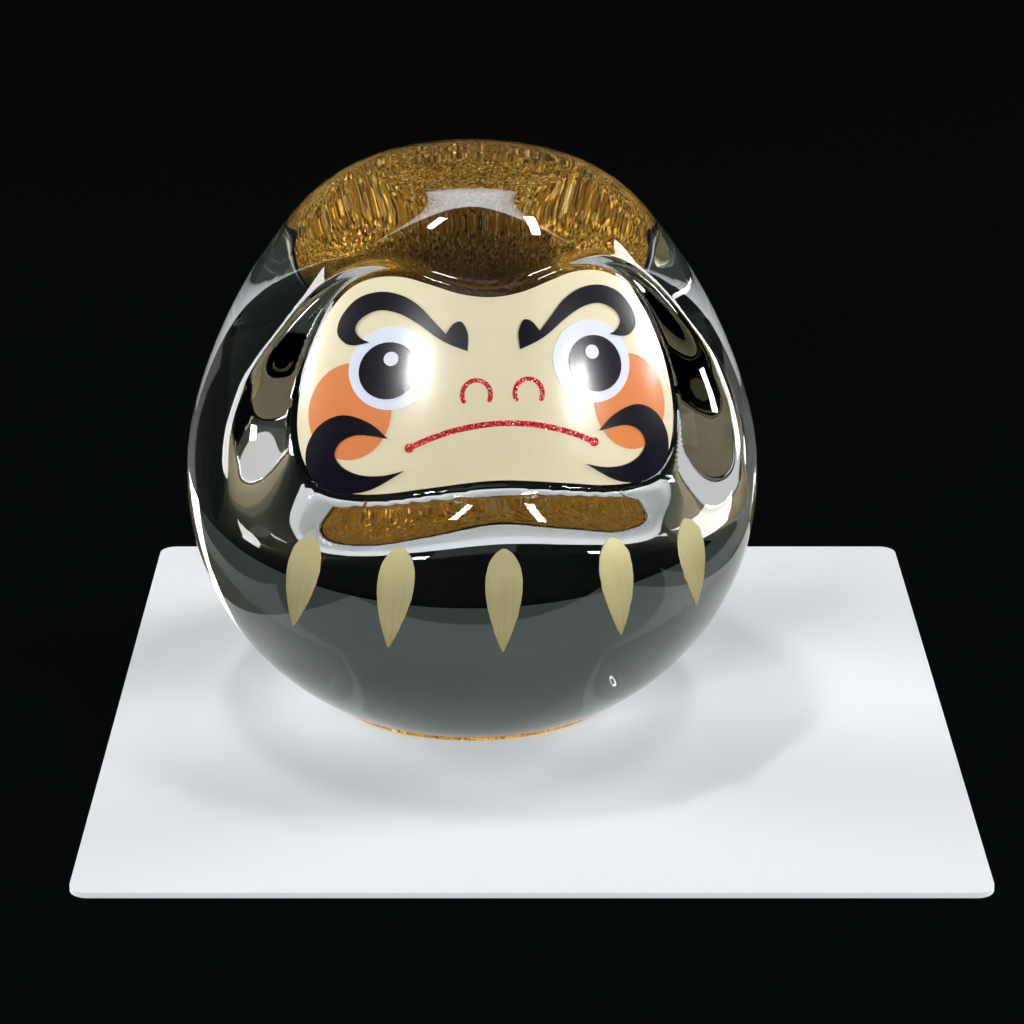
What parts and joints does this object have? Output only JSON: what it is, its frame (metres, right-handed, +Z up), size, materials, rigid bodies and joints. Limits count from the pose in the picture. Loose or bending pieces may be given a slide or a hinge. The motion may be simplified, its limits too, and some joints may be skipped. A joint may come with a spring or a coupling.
{
  "type": "glass daruma doll",
  "caption": "Solid clear glass daruma doll on a flat foot, with a printed face in a pressed recess, gold belly strokes and a gold flake base.",
  "frame": {"origin": "centre of the foot, on the surface that the doll stands on", "axes": "+Z up through the crown, -Y the way the face looks, +X the doll's own left"},
  "size_m": [0.066, 0.0661, 0.0645],
  "materials": {
    "clear_glass": "clear fire-polished glass",
    "gold_flake": "coarse gold flake set in clear lacquer",
    "cream_ground": "glossy opaque print",
    "white_ink": "glossy opaque print",
    "black_ink": "glossy opaque print",
    "orange_ink": "glossy opaque print",
    "red_ink": "glossy print with fine glitter",
    "gold_paint": "satin metallic brush paint"
  },
  "bodies": {
    "root": {"glass_body": "clear_glass", "gold_base": "gold_flake", "face_ground": "cream_ground", "mouth": "red_ink", "cheek_left": "orange_ink", "cheek_right": "orange_ink", "eye_white_left": "white_ink", "eye_white_right": "white_ink", "pupil_left": "black_ink", "pupil_right": "black_ink", "catchlight_left": "white_ink", "catchlight_right": "white_ink", "eyebrow_left": "black_ink", "eyebrow_right": "black_ink", "whisker_left": "black_ink", "whisker_right": "black_ink", "nostril_left": "red_ink", "nostril_right": "red_ink", "gold_stroke_1": "gold_paint", "gold_stroke_2": "gold_paint", "gold_stroke_3": "gold_paint", "gold_stroke_4": "gold_paint", "gold_stroke_5": "gold_paint"}
  },
  "joints": []
}
